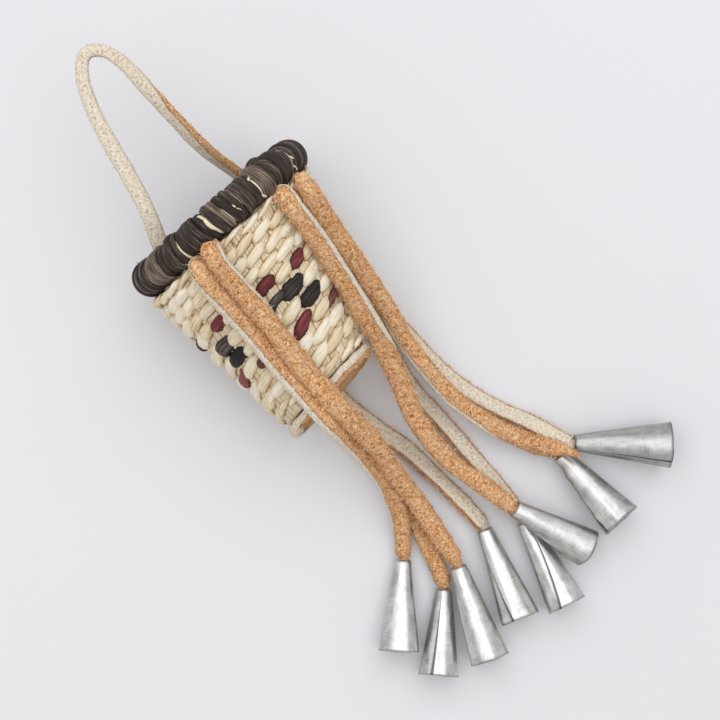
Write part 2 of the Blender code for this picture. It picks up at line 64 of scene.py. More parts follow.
# The basket, as the CAD model has it
HOOP_CENTRE = (-1.306, 0.0, 20.655)
TILT = 7.125  # degrees that the base end dips
HOOP_RADIUS = 18.2
RIM_THICKNESS = 6.6
RIM_LOOP = 4.3  # degrees round the rim to one loop of its winding
WALL_TOP = 3.8
WALL_BOTTOM = 39.5
WALL_TOP_RADIUS = 19.9
WALL_BOTTOM_RADIUS = 11.3
WALL_THICKNESS = 1.9
FLOOR_THICKNESS = 1.6
BASE_TOP = 39.8
BASKET_LENGTH = 42.4
BASE_RADIUS = 11.5
BASKET_LEAN = -6.4  # sideways drift over its length
BASKET_WIDTH_SHARE = 1.04  # of its height
BASE_SWING = 0.15
BASE_DROP = 0.2

# Laces
LACE_LIFT = 1.97  # of a lace's centre line over the wall
HOLE = 6.2  # from the hoop's plane to the holes that the laces come out of
HANDLE_WIDTH = 2.6
STRAP_STEP = 0.32
HANDLE_STEP = 0.45
SECTION = 28  # points round a lace
SECTION_POWER = 0.66  # lower is squarer
GRAIN_BLUR = 44  # degrees over which the pale side turns into the suede side
FIBRE_LENGTH = (0.3, 1.15)
FIBRE_WIDTH = 0.075  # to each side
BASE_FIBRES = 1400

# Tin cones
CONE_TOP_RADIUS = 1.95
CONE_SHEET = 0.25
CONE_LAP_RISE = 0.42
CONE_LAP = 34  # degrees of sheet past one turn
KNOT_DEPTH = 7.0
KNOT_RADIUS = 0.85

LOWEST = 0.05  # over the table, where soft and loose edges are pressed flat

# Camera: straight above, turned so that +X points down to the right in the picture
CAMERA_OVER = (38.5, 2.56)
CAMERA_HEIGHT = 300.0
CAMERA_LENS = 69.75
CAMERA_TURN = 49.0

# The table's and softbox's sizes in metres, then the softbox's power and its place from the picture's middle
TABLE_REACH = 2.0
SOFTBOX_SIZE = 0.9
SOFTBOX_POWER = 3.7
SOFTBOX_RIGHT = 10
SOFTBOX_UP = 180
SOFTBOX_HEIGHT = 640
SURROUND_LEVEL = 0.68

# Each lace as the CAD model has it: its angle round the rim, the distances from the hoop's plane and angles
# where it lies on the wall, and its route after that. Then what shows: how far up over the rim its fold is
# and how far round, its width in the middle, and at shares of its length the turns of its suede side from
# facing up and the degrees of its section that are pale (90 is the suede side's middle, 180 the -Y edge).
# What a lace leaves out is as in the plain one.
PLAIN_LACE = dict(on_wall=[], fold_top=3.9, fold_shift=0.0, width=3.9)
LACES = {
    "front_left_outer": dict(
        angle=-21.5, fold_top=3.2,
        on_wall=[(22.0, -20.4), (31.5, -19.5), (45.0, -13.4)],
        route=[(49.3, -9.8, 21.6), (55.3, -9.8, 14.6), (61.0, -10.1, 9.4), (65.7, -11.4, 6.0),
               (70.0, -13.3, 3.7)],
        turns=[(0.0, -22), (0.14, 26), (0.5, 32), (0.8, 16), (1.0, 0)],
        pale=[(0.0, 150, 335), (0.15, 122, 335), (0.6, 124, 335), (0.9, 168, 335)]),
    "front_left_inner": dict(
        angle=-11.0, fold_top=2.5, width=4.4,
        on_wall=[(22.5, -7.8), (33.0, -6.0), (45.0, 0.6)],
        route=[(52.2, -6.3, 20.0), (57.6, -6.9, 14.0), (62.9, -7.5, 10.0), (68.4, -7.9, 7.2),
               (73.6, -8.6, 5.3), (78.8, -9.3, 4.2)],
        turns=[(0.0, -12), (0.12, -18), (0.3, -4), (0.5, 4), (1.0, 0)],
        pale=[(0.0, 205, 408), (0.16, 205, 400), (0.28, 205, 340), (1.0, 205, 335)]),
    "front_right_inner": dict(
        angle=38.5, fold_top=3.6, fold_shift=-2.2, width=4.45,
        route=[(16.2, 11.6, 32.0), (24.1, 10.5, 27.6), (32.1, 9.3, 22.8), (38.2, 8.3, 19.0),
               (46.9, 6.0, 14.5), (55.5, 3.2, 10.5), (66.5, 2.7, 7.0), (73.5, 4.3, 6.0), (79.5, 5.7, 6.8)],
        turns=[(0.0, 30), (0.1, -14), (0.4, -26), (0.52, -8), (0.7, 10), (0.9, 14), (1.0, 0)],
        pale=[(0.0, 205, 412), (0.4, 205, 412), (0.5, 205, 355), (0.7, 170, 335), (0.85, 160, 335),
              (1.0, 200, 335)]),
    "front_right_outer": dict(
        angle=54.0, fold_top=3.7, fold_shift=-2.0,
        route=[(12.0, 15.7, 30.2), (18.7, 15.1, 25.6), (26.9, 14.4, 20.0), (35.3, 13.4, 15.0),
               (41.3, 12.2, 12.0), (52.0, 11.8, 8.5), (58.5, 12.2, 6.6), (67.0, 14.4, 4.9),
               (75.1, 18.2, 3.4)],
        turns=[(0.0, 54), (0.1, 12), (0.3, 6), (0.42, 24), (0.7, 28), (0.88, 8), (1.0, 0)],
        pale=[(0.0, 205, 335), (0.36, 200, 335), (0.46, 142, 335), (0.75, 138, 335), (0.86, 185, 335)]),
    "back_left_outer": dict(
        angle=-135.0,
        route=[(20.4, -13.2, 2.2), (30.4, -11.2, 1.7), (39.3, -10.0, 1.7), (48.4, -9.4, 1.7),
               (55.5, -8.9, 1.7), (62.9, -8.5, 1.7), (67.7, -9.4, 1.7), (72.2, -10.8, 1.7),
               (78.0, -12.5, 1.7)],
        turns=[(0.0, -135), (0.2, -175), (0.45, -180), (0.62, -330), (1.0, -352)],
        pale=[(0.0, 205, 335), (0.6, 205, 335), (0.7, 175, 335)]),
    "back_left_inner": dict(
        angle=-147.0,
        route=[(18.4, -9.8, 1.65), (28.4, -7.8, 1.65), (38.0, -6.4, 1.7), (44.4, -5.9, 1.7),
               (51.7, -4.4, 1.7), (59.2, -2.5, 1.7), (67.4, -1.6, 1.7), (76.3, -0.9, 1.7)],
        turns=[(0.0, -147), (0.2, -180), (0.45, -176), (0.56, -160), (0.7, -142), (1.0, -138)],
        pale=[(0.0, 205, 335), (0.45, 216, 334), (0.7, 228, 340), (1.0, 232, 340)]),
    "back_right_inner": dict(
        angle=147.0,
        route=[(18.4, 10.1, 1.65), (28.4, 10.1, 1.7), (38.0, 9.2, 1.7), (49.1, 7.1, 1.7), (59.8, 7.2, 1.7),
               (71.1, 7.1, 1.7), (79.5, 7.1, 1.8)],
        turns=[(0.0, 147), (0.2, 180), (0.45, 214), (0.7, 222), (1.0, 214)],
        pale=[(0.0, 205, 335), (0.45, 232, 340), (1.0, 234, 340)]),
    "back_right_outer": dict(
        angle=135.0,
        route=[(18.4, 13.9, 2.4), (28.4, 13.8, 1.7), (38.9, 13.6, 1.7), (51.3, 14.1, 1.7),
               (59.5, 15.7, 1.7), (66.7, 18.4, 1.7), (73.0, 21.4, 2.4)],
        turns=[(0.0, 135), (0.2, 180), (0.45, 212), (0.8, 220), (1.0, 200)],
        pale=[(0.0, 205, 335), (0.45, 230, 340), (1.0, 230, 340)]),
}
PLAIN_PALE = [(0, 205, 335), (1, 205, 335)]
# The pointed scrap of the right outer lace that sticks out beside its cone
TIP_ROUTE = [(73.4, 17.2, 3.7), (76.2, 19.3, 4.9), (79.0, 21.3, 6.0), (81.8, 23.0, 6.8), (84.2, 24.3, 7.2)]
HANDLE_ROUTE = [(-10.6, -9.8, 26.8), (-18.6, -7.9, 27.2), (-26.6, -6.3, 27.3), (-33.6, -4.5, 27.2),
                (-39.0, -2.1, 27.0), (-42.0, 1.3, 26.8), (-40.0, 4.5, 26.5), (-35.0, 5.8, 25.9),
                (-28.1, 6.0, 24.4), (-20.6, 6.3, 21.8), (-13.6, 6.9, 18.2)]
HANDLE_LEFT_ANGLE = -75.0
HANDLE_RIGHT_ANGLE = 141.0
HANDLE_RADIUS = 12.9  # from the axis to its ends inside the mouth
HANDLE_PIVOT_OUT = 3.2
HANDLE_END_DEPTH = 12.0

# Each cone: its length, its mouth's radius, its seam's angle from the top, how far that has turned at the
# mouth, how much of the sheet's end stands off straight there, how far it is flattened between creases, how
# much shorter its top side is, how much painted shade darkens its plate for the darker reflection it shows,
# how far its seam is crumpled, and its creases' angles.
CONES = {
    "front_left_outer": (19.0, 4.6, 170, 0, 0, 0.2, 0.0, 0.05, 0.0, (-62, -24, 38, 100, 160, 230)),
    "front_left_inner": (20.6, 4.5, 64, 6, 22, 0.22, 0.3, 0.05, 0.0, (-70, -10, 30, 75, 140, 220)),
    "front_right_inner": (18.6, 4.15, 88, 4, 30, 0.2, 0.3, 0.12, 0.0, (-55, 20, 60, 120, 200, 250)),
    "front_right_outer": (19.3, 4.9, 60, -2, 26, 0.3, 1.0, 0.16, 0.6, (-60, 8, 52, 110, 170, 240)),
    "back_left_outer": (18.4, 4.6, 12, 10, 14, 0.26, 0.6, 0.1, 0.0, (-64, -14, 40, 95, 160, 230)),
    "back_left_inner": (20.6, 4.6, 54, -34, 6, 0.3, 0.8, 0.04, 0.0, (-75, -28, 14, 44, 66, 130, 210)),
    "back_right_inner": (19.9, 4.6, -24, 44, 8, 0.25, 0.5, 0.05, 0.0, (-86, -18, 22, 64, 130, 210)),
    "back_right_outer": (20.2, 5.3, 35, 4, 8, 0.22, 0.2, 0.38, 0.0, (-60, -16, 32, 70, 140, 220)),
}

# Creases between the lumps of the rim's winding: angle, width, lean and whether pale splint shows
RIM_CREASES = [
    (-76, 1.0, 0.5, 0), (-58, 1.0, -1.0, 0), (-39, 1.4, -1.6, 0), (-26, 1.2, 0.8, 1), (-5, 2.3, 2.4, 1),
    (4.5, 1.5, 2.0, 1), (13.5, 2.0, 0.6, 1), (26, 2.2, 0.9, 1), (40, 1.2, 1.0, 0), (57, 2.4, -1.0, 1)]
# Pale wisps that lie over the winding: from and to, as angles round the rim and round its section
RIM_WISPS = [(49, -62, 57, -36), (51, -48, 62, -58), (55, -10, 60, 20), (56, 30, 62, 62), (24, 30, 30, 72),
             (8.5, -12, 11, 26), (10, 10, 12.5, 44), (-8, -58, -5, -20), (27, -40, 23, -20)]
# Rows of twining from the rim down: distance from the hoop's plane, stitches in the turn, one stitch's angle
ROWS = [(4.5, 29, 1.6), (7.4, 28, 4.7), (10.6, 25, 7.6), (13.7, 22, 11.2), (17.0, 25, 3.1), (21.0, 20, 20.6),
        (24.5, 18, 30.5), (28.0, 18, 13.9), (31.5, 15, 2.0), (34.9, 15, 11.9), (38.2, 15, 20.0)]
# The pattern's coloured stitches as the photo shows them: row, angle, colour, width, tilt
RED, BLACK, DARK_RED = 1, 2, 3
PATTERN = [(4, 32, RED, 2.7, -10), (4, 3, RED, 2.5, -9), (5, 20.7, BLACK, 3.5, -2), (5, 1.5, BLACK, 1.9, -16),
           (6, 30.5, BLACK, 3.4, -7), (7, 13.9, RED, 2.9, -20), (7, 52.8, DARK_RED, 2.0, -14),
           (4, -37, RED, 2.6, -9), (5, -50.9, BLACK, 3.4, -4), (6, -46, BLACK, 3.0, -7),
           (7, -63, RED, 2.7, -14), (7, -27.7, DARK_RED, 2.2, -16), (4, -86, BLACK, 2.4, -8)]
# The same pattern where it is out of sight: its places, then row, degrees from the place, colour, width, tilt
HIDDEN_PLACES = (100.0, 160.0, 220.0)
HIDDEN_PATTERN = [(4, -14, RED, 2.5, -9), (4, 14, RED, 2.7, -10), (5, 3, BLACK, 3.5, -2),
                  (6, 12, BLACK, 3.5, -7), (7, -4, RED, 2.9, -20)]

BASKET_AXIS = Matrix.Translation(HOOP_CENTRE) @ Matrix.Rotation(radians(TILT), 4, "Y")


def new_object(name, data):
    obj = bpy.data.objects.new(name, data)
    bpy.context.scene.collection.objects.link(obj)
    return obj


def make_camera():
    data = bpy.data.cameras.new("camera")
    data.lens = CAMERA_LENS
    data.sensor_width = 36
    camera = new_object("camera", data)
    camera.location = Vector((*CAMERA_OVER, CAMERA_HEIGHT)) * MM
    camera.rotation_euler = (0, 0, radians(CAMERA_TURN))
    bpy.context.scene.camera = camera


def wall_radius(along):
    share = (along - WALL_TOP) / (WALL_BOTTOM - WALL_TOP)
    return WALL_TOP_RADIUS + share * (WALL_BOTTOM_RADIUS - WALL_TOP_RADIUS)


def askew(along, across, up):
    """Carries a point of a straight round basket to the one that leans and has a sloping base."""
    down_wall = max(0.0, (along - WALL_TOP) / (BASKET_LENGTH - WALL_TOP))
    return Vector((along - down_wall * (BASE_SWING * across + BASE_DROP * up),
                   along * BASKET_LEAN / BASKET_LENGTH + across * BASKET_WIDTH_SHARE, up))


def in_basket(along, angle, radius):
    """A point of the askew basket, in the CAD model's frame."""
    turn = radians(angle)
    return BASKET_AXIS @ askew(along, radius * sin(turn), radius * cos(turn))


def on_hoop(angle, turn, reach):
    """A point at that reach from the hoop's centre line. A turn of 0 is outside, a quarter faces the base."""
    radius = HOOP_RADIUS + reach * cos(turn)
    angle = radians(angle)
    return BASKET_AXIS @ Vector((reach * sin(turn), radius * sin(angle), radius * cos(angle)))


def on_wall(along, angle, lift):
    surface = wall_radius(along) if along < WALL_BOTTOM else BASE_RADIUS
    return in_basket(along, angle, surface + lift)


def smooth_curve(points, step):
    """Points about one step apart on a Catmull-Rom curve through the given ones."""
    points = [Vector(p) for p in points]
    ends = [2 * points[0] - points[1], *points, 2 * points[-1] - points[-2]]
    fine = []
    for a, b, c, d in zip(ends, ends[1:], ends[2:], ends[3:]):
        for k in range(20):
            t = k / 20
            fine.append(0.5 * (2 * b + (c - a) * t + (2 * a - 5 * b + 4 * c - d) * t**2
                               + (3 * b - a - 3 * c + d) * t**3))
    fine.append(points[-1])
    along = [0.0, *accumulate((b - a).length for a, b in zip(fine, fine[1:]))]
    count = max(2, math.ceil(along[-1] / step))
    found = []
    i = 0
    for k in range(count + 1):
        wanted = along[-1] * k / count
        while i < len(fine) - 2 and along[i + 1] < wanted:
            i += 1
        share = (wanted - along[i]) / (along[i + 1] - along[i])
        found.append(fine[i].lerp(fine[i + 1], share))
    return found


def length_of(points):
    return sum((b - a).length for a, b in zip(points, points[1:]))


def eased(share):
    return share * share * (3 - 2 * share)


def between(stops, share):
    """The value at a share of the way, from (share, value) stops, eased from each stop to the next."""
    for (a, first), (b, second) in zip(stops, stops[1:]):
        if share <= b:
            return first + (second - first) * eased(max(0.0, (share - a) / (b - a)))
    return stops[-1][1]


def wobble(place, size, seed):
    """A smooth value from about -1 to 1 that changes over that many millimetres."""
    return noise.noise(Vector(place) / size + Vector((seed * 7.3, seed * 3.1, seed * 1.7)))


def any_way(rng, most_up=1.0):
    return Vector((rng.uniform(-1, 1), rng.uniform(-1, 1), rng.uniform(-most_up, most_up)))


# Materials

def linear(red, green, blue):
    """A colour from the 0 to 255 values it shows."""
    parts = [c / 255 / 12.92 if c <= 10 else ((c / 255 + 0.055) / 1.055) ** 2.4 for c in (red, green, blue)]
    return (*parts, 1.0)


class Graph:
    """A material's node graph, written one node a line."""

    def __init__(self, name, roughness, specular=0.5, metallic=0.0):
        self.material = bpy.data.materials.new(name)
        self.material.use_nodes = True
        self.tree = self.material.node_tree
        self.shader = self.tree.nodes["Principled BSDF"]
        self.shader.inputs["Roughness"].default_value = roughness
        self.shader.inputs["Specular IOR Level"].default_value = specular
        self.shader.inputs["Metallic"].default_value = metallic

    def node(self, kind, inputs, **settings):
        made = self.tree.nodes.new(kind)
        for key, value in settings.items():
            setattr(made, key, value)
        for key, value in inputs.items():
            self.put(made.inputs[key], value)
        return made

    def put(self, socket, value):
        if isinstance(value, bpy.types.NodeSocket):
            self.tree.links.new(value, socket)
        else:
            socket.default_value = value

    def uv(self, across=1.0, along=1.0):
        """The surface's own coordinates in millimetres, scaled in each direction."""
        coordinates = self.node("ShaderNodeUVMap", {}, uv_map="UVMap")
        return self.node("ShaderNodeMapping", {"Vector": coordinates.outputs["UV"],
                                               "Scale": (along, across, 1.0)}).outputs["Vector"]

    def attribute(self, name):
        return self.node("ShaderNodeAttribute", {}, attribute_name=name).outputs["Fac"]

    def noise(self, vector, scale, detail=4.0, roughness=0.6, distortion=0.0):
        inputs = {"Vector": vector, "Scale": scale, "Detail": detail, "Roughness": roughness,
                  "Distortion": distortion}
        return self.node("ShaderNodeTexNoise", inputs).outputs["Fac"]

    def ramp(self, value, *stops):
        made = self.node("ShaderNodeValToRGB", {"Fac": value})
        band = made.color_ramp
        while len(band.elements) < len(stops):
            band.elements.new(0.5)
        for element, (place, colour) in zip(band.elements, stops):
            element.position = place
            element.color = colour
        return made.outputs["Color"]

    def fade(self, value, start, end, most=1.0):
        """From nothing at the start value to the most at the end value."""
        return self.ramp(value, (start, (0, 0, 0, 1)), (end, (most, most, most, 1)))

    def mix(self, share, first, second):
        made = self.node("ShaderNodeMix", {}, data_type="RGBA")
        first_colour, second_colour = made.inputs[6], made.inputs[7]
        self.put(made.inputs["Factor"], share)
        self.put(first_colour, first)
        self.put(second_colour, second)
        return made.outputs[2]

    def math(self, operation, *values):
        made = self.node("ShaderNodeMath", {}, operation=operation)
        for socket, value in zip(made.inputs, values):
            self.put(socket, value)
        return made.outputs[0]

    def add(self, first, second):
        return self.math("ADD", first, second)

    def times(self, first, second):
        return self.math("MULTIPLY", first, second)

    def less(self, first, second):
        return self.math("SUBTRACT", first, second)

    def colour(self, value):
        self.put(self.shader.inputs["Base Color"], value)

    def bump(self, height, depth, strength):
        """Raises the surface by up to depth millimetres."""
        made = self.node("ShaderNodeBump", {"Height": height, "Distance": depth * MM, "Strength": strength})
        self.put(self.shader.inputs["Normal"], made.outputs["Normal"])


def lace_leather(name, pores):
    """Suede on one side and pale grain on the other, told apart by the mesh's own grain value."""
    graph = Graph(name, 0.95, specular=0.15)
    place = graph.uv()
    nap = graph.noise(place, 2.5, 4.0, 0.62, 1.0)
    tufts = graph.noise(place, 0.5, 3.0)
    suede = graph.ramp(nap, (0.36, linear(148, 88, 44)), (0.45, linear(206, 144, 90)),
                       (0.53, linear(236, 184, 132)), (0.63, linear(251, 220, 178)))
    suede = graph.mix(graph.fade(tufts, 0.42, 0.62, 0.34), suede, linear(238, 204, 166))
    skin = graph.noise(place, 1.9, 5.0, 0.65)
    grain = graph.ramp(skin, (0.36, linear(190, 174, 150)), (0.48, linear(214, 202, 183)),
                       (0.62, linear(230, 221, 206)))
    dots = graph.node("ShaderNodeTexVoronoi", {"Vector": place, "Scale": 1.0, "Randomness": 0.85},
                      voronoi_dimensions="2D")
    chosen = graph.noise(place, 0.8, 1.0)
    hole = graph.times(graph.math("LESS_THAN", dots.outputs["Distance"], 0.13),
                       graph.math("GREATER_THAN", chosen, 0.42))
    grain = graph.mix(graph.times(hole, pores), grain, linear(122, 104, 84))
    ragged = graph.add(graph.attribute("grain"), graph.times(graph.less(nap, 0.5), 1.1))
    share = graph.fade(ragged, 0.42, 0.58)
    graph.colour(graph.mix(share, suede, grain))
    fine = graph.noise(place, 4.5, 3.0, 0.7)
    nap_height = graph.add(nap, graph.times(fine, 0.35))
    skin_height = graph.add(graph.times(skin, 0.35), graph.times(hole, -0.25 * pores))
    graph.bump(graph.add(graph.times(nap_height, graph.less(1.0, share)), graph.times(skin_height, share)),
               0.5, 1.0)
    return graph.material


def splint(name, colours, roughness, streaks=8.0):
    """A flat split of straw or bark with streaks along it and its own tone in each stitch. In the weave that
    tone also carries painted shade at each stitch's edges and ends.
    """
    graph = Graph(name, roughness, specular=0.3)
    fibre = graph.noise(graph.uv(streaks, 0.3), 1.0, 3.0)
    strand = graph.noise(graph.uv(streaks * 0.3, 0.16), 1.0, 3.0)
    value = graph.add(graph.times(fibre, 0.55), graph.times(strand, 0.45))
    value = graph.add(value, graph.times(graph.less(graph.attribute("tone"), 0.5), 0.22))
    shades = [linear(*colour) for colour in colours]
    graph.colour(graph.ramp(value, *zip((0.26, 0.38, 0.49, 0.62), shades)))
    graph.bump(graph.add(fibre, strand), 0.22, 0.9)
    return graph.material


def warp_splints():
    """The upright splints behind the twining: pale on their ridges, with painted shade in tan between them.
    """
    graph = Graph("warp_splints", 0.8, specular=0.3)
    patches = graph.noise(graph.uv(0.6, 0.6), 0.7)
    pale = graph.ramp(patches, (0.35, linear(218, 202, 168)), (0.65, linear(240, 232, 212)))
    groove_shade = graph.ramp(patches, (0.35, linear(166, 128, 84)), (0.65, linear(206, 176, 132)))
    graph.colour(graph.mix(graph.fade(graph.attribute("ridge"), 0.1, 0.6), groove_shade, pale))
    graph.bump(graph.noise(graph.uv(4.0, 0.4), 1.0), 0.12, 0.6)
    return graph.material


def tin_plate():
    """Bright tin plate, dulled in soft patches, with faint brushing across it and streaks along it."""
    graph = Graph("tin_plate", 0.36, metallic=1.0)
    brushed = graph.noise(graph.uv(0.22, 6.0), 1.0)
    streaked = graph.noise(graph.uv(0.7, 0.08), 1.0, 3.0, 0.5)
    stains = graph.noise(graph.uv(0.45, 0.3), 0.9, 4.0, 0.65, 0.5)
    speckle = graph.noise(graph.uv(), 5.0, 3.0, 0.7)
    value = graph.add(graph.times(stains, 0.5), graph.times(streaked, 0.25))
    value = graph.add(value, graph.times(brushed, 0.25))
    plate = graph.ramp(value, (0.38, linear(168, 167, 164)), (0.5, linear(205, 204, 200)),
                       (0.6, linear(226, 225, 221)))
    plate = graph.mix(graph.fade(speckle, 0.6, 0.68, 0.7), plate, linear(232, 232, 230))
    # Painted shade: the mesh's value darkens the plate towards dark grey at the seam's contact shadow, the
    # sheet's end, the mouth edge and on cones with a darker reflection
    graph.colour(graph.mix(graph.attribute("painted_shade"), plate, linear(74, 70, 66)))
    graph.put(graph.shader.inputs["Roughness"], graph.add(0.25, graph.times(value, 0.3)))
    graph.bump(graph.add(brushed, graph.times(stains, 3.0)), 0.05, 0.5)
    return graph.material


# Meshes

class Surface:
    """Points in millimetres, each with a UV and one named value, and the faces between them."""

    def __init__(self, value_name):
        self.value_name = value_name
        self.verts = []
        self.uvs = []
        self.values = []
        self.faces = []

    def add(self, point, uv, value):
        self.verts.append(point)
        self.uvs.append(uv)
        self.values.append(value)

    def sliver(self, k, root, aside, tip):
        """A thin loose fibre that takes the look of a point."""
        first = len(self.verts)
        for point in (root - aside, root + aside, root + tip):
            self.add(point, self.uvs[k], self.values[k])
        self.faces.append((first, first + 1, first + 2))

    def grid(self, rows, columns, start=0, closed=False, flip=False):
        """Quads for rows of points, each that many columns long. A closed row joins up with itself."""
        for i in range(rows - 1):
            for j in range(columns if closed else columns - 1):
                k = (j + 1) % columns
                face = (start + i * columns + j, start + i * columns + k,
                        start + (i + 1) * columns + k, start + (i + 1) * columns + j)
                self.faces.append(face[::-1] if flip else face)

    def make(self, name, materials, slots=None):
        mesh = bpy.data.meshes.new(name)
        mesh.from_pydata([Vector((v.x, v.y, max(v.z, LOWEST))) * MM for v in self.verts], [], self.faces)
        layer = mesh.uv_layers.new(name="UVMap")
        layer.data.foreach_set("uv", [c for loop in mesh.loops for c in self.uvs[loop.vertex_index]])
        mesh.attributes.new(self.value_name, "FLOAT", "POINT").data.foreach_set("value", self.values)
        for material in materials:
            mesh.materials.append(material)
        if slots:
            mesh.polygons.foreach_set("material_index", slots)
        mesh.validate()
        mesh.shade_smooth()
        return new_object(name, mesh)


def thicken(piece, thickness, offset):
    """Makes a sheet solid: on the side that its faces look to for 1, and on the other for -1."""
    modifier = piece.modifiers.new("Thickness", "SOLIDIFY")
    modifier.thickness = thickness * MM
    modifier.offset = offset


def section_point(j):
    """A rounded oblong's outline, from -1 to 1 each way. The suede side has its second value over 0."""
    turn = tau * j / SECTION
    side = math.copysign(abs(cos(turn)) ** SECTION_POWER, cos(turn))
    top = math.copysign(abs(sin(turn)) ** SECTION_POWER, sin(turn))
    return side, top


def paleness(degrees, start, end):
    """How far a direction is inside the pale part of a lace's section, from 0 to 1."""
    middle = (start + end) / 2
    off = abs((degrees - middle + 180) % 360 - 180)
    return min(1.0, max(0.0, 0.5 + ((end - start) / 2 - off) / GRAIN_BLUR))


def add_fuzz(rng, count, roots, normals, surface):
    """Short loose fibres that stand out of a leather surface."""
    for _ in range(count):
        k = rng.choice(roots)
        if surface.values[k] > rng.uniform(0.3, 1.1):
            continue
        tip = (normals[k] * 0.8 + any_way(rng, 0.8)).normalized() * rng.uniform(*FIBRE_LENGTH)
        aside = tip.cross(any_way(rng)).normalized() * FIBRE_WIDTH
        surface.sliver(k, surface.verts[k] - normals[k] * 0.08, aside, tip)


def strap(name, points, widths, turns, pale, material, seed, thickness=2.0, rough=0.23, fuzz=44.0):
    """A lace swept along points. widths, turns and pale are (share of its length, value) stops."""
    rng = random.Random(seed)
    total = length_of(points)
    starts = [(share, start) for share, start, _ in pale]
    ends = [(share, end) for share, _, end in pale]
    surface = Surface("grain")
    normals = []
    travelled = 0.0
    for i, point in enumerate(points):
        travelled += (point - points[max(i - 1, 0)]).length
        share = travelled / total
        ahead = (points[min(i + 1, len(points) - 1)] - points[max(i - 1, 0)]).normalized()
        reference = (UP - ahead * UP.dot(ahead)).normalized()
        aside = reference.cross(ahead)
        turn = radians(between(turns, share) + 7 * wobble((travelled, 0, 0), 9.0, seed + 2))
        normal = reference * cos(turn) + aside * sin(turn)
        sideways = normal.cross(ahead)
        width = between(widths, share) * (1 + 0.07 * wobble((travelled, 3, 0), 6.0, seed + 8))
        thick = thickness * min(1.0, width / widths[0][1] * 1.1)
        for j in range(SECTION):
            side, top = section_point(j)
            at = (travelled, side * 2, top * 2)
            swell = 1 + 0.05 * wobble(at, 2.6, seed)
            offset = sideways * side * width / 2 * swell + normal * top * thick / 2 * swell
            value = paleness(j * 360 / SECTION, between(starts, share), between(ends, share))
            ragged = rough * (1.2 - 0.8 * value) * min(1.0, width / 3.3) ** 2
            nap = wobble(at, 0.75, seed + 5) + 0.8 * wobble(at, 0.36, seed + 6)
            offset += offset.normalized() * ragged * nap
            surface.add(point + offset, (travelled + seed * 13.0, j / SECTION * 2 * (width + thick)), value)
            normals.append(offset.normalized())
    surface.grid(len(points), SECTION, closed=True)
    last = len(normals) - SECTION
    surface.faces += [tuple(range(SECTION))[::-1], tuple(range(last, last + SECTION))]
    add_fuzz(rng, int(total * fuzz), range(SECTION, last), normals, surface)
    return surface.make(name, [material])


# Laces and handle

def joint_point(name):
    return Vector(JOINTS[name]["pos_m"]) / MM


def cone_place(name):
    """The matrix that carries a cone from the origin, with its axis along +Z, to where it lies."""
    along = Vector(JOINTS[f"{name}_spin"]["axis"])
    turn = along.to_track_quat("Z", "Y").to_matrix().to_4x4()
    return Matrix.Translation(joint_point(f"{name}_spin")) @ turn


def fold_over_rim(lace):
    """The first points of a lace: out of its hole, up over the rim's lower edge and down on to the wall."""
    angle = lace["angle"] + lace["fold_shift"]
    top = lace["fold_top"] + 0.95
    out = WALL_TOP_RADIUS + (3.4 - top) * 0.75 + 1.3
    wall = wall_radius(HOLE)
    places = [(HOLE, wall - 1.4), (HOLE - 0.6, wall + 0.5), (top + 0.3, out - 0.9), (top + 0.2, out + 0.5),
              (top + 1.9, out + 1.0), (HOLE + 2.5, wall + LACE_LIFT + 0.2)]
    return [in_basket(along, angle, radius) for along, radius in places]


def lace_points(name, lace):
    route = fold_over_rim(lace)
    route += [on_wall(along, angle, LACE_LIFT) for along, angle in lace["on_wall"]]
    route += [Vector(p) for p in lace["route"]]
    place = cone_place(name)
    route += [place @ Vector((0, 0, depth)) for depth in (-1.2, 0.6, 5.2)]
    return smooth_curve(route, STRAP_STEP)


def make_lace(name, seed, material):
    lace = PLAIN_LACE | LACES[name]
    points = lace_points(name, lace)
    late = [(0.86, 3.9), (0.923, 3.5)]
    if name == "front_right_outer":
        late = [(0.82, 3.8), (0.89, 4.2), (0.923, 3.6)]
    widths = [(0.0, 3.6), (0.08, 4.0), (0.4, lace["width"]), *late, (0.943, 2.1), (1.0, 1.75)]
    made = strap(f"{name}_strap", points, widths, lace["turns"], lace["pale"], material, seed)
    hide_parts(f"{name}_lace")
    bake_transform(made)
    return made, points


def make_loose_tip(material):
    widths = [(0.0, 2.0), (0.3, 3.3), (0.6, 3.2), (0.85, 1.5), (1.0, 0.3)]
    made = strap("front_right_outer_tip", smooth_curve(TIP_ROUTE, 0.4), widths, [(0.0, 8), (1.0, 20)],
                 [(0.0, 200, 335), (1.0, 200, 335)], material, 57, thickness=1.4)
    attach(made, "front_right_outer_tassel")


def make_fold(side, material, seed):
    """The stretch of a lace that crosses behind the wall from its left leg's hole to the right one's."""
    name = f"{side}_fold"
    first, last = (LACES[f"{side}_{leg}"]["angle"] for leg in ("outer", "inner"))
    if "right" in side:
        first, last = last, first
    deep = wall_radius(HOLE) - WALL_THICKNESS - 0.95
    outer = wall_radius(HOLE) - 0.9
    mid = (first + last) / 2
    places = [(first, outer), (first, deep + 0.3), (mid, deep), (last, deep + 0.3), (last, outer)]
    points = smooth_curve([in_basket(HOLE, angle, radius) for angle, radius in places], 0.5)
    made = strap(f"{name}_strap", points, [(0, 2.8), (1, 2.8)], [(0, 0), (1, 0)], PLAIN_PALE, material, seed,
                 thickness=1.9)
    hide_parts(name)
    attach(made, "basket")


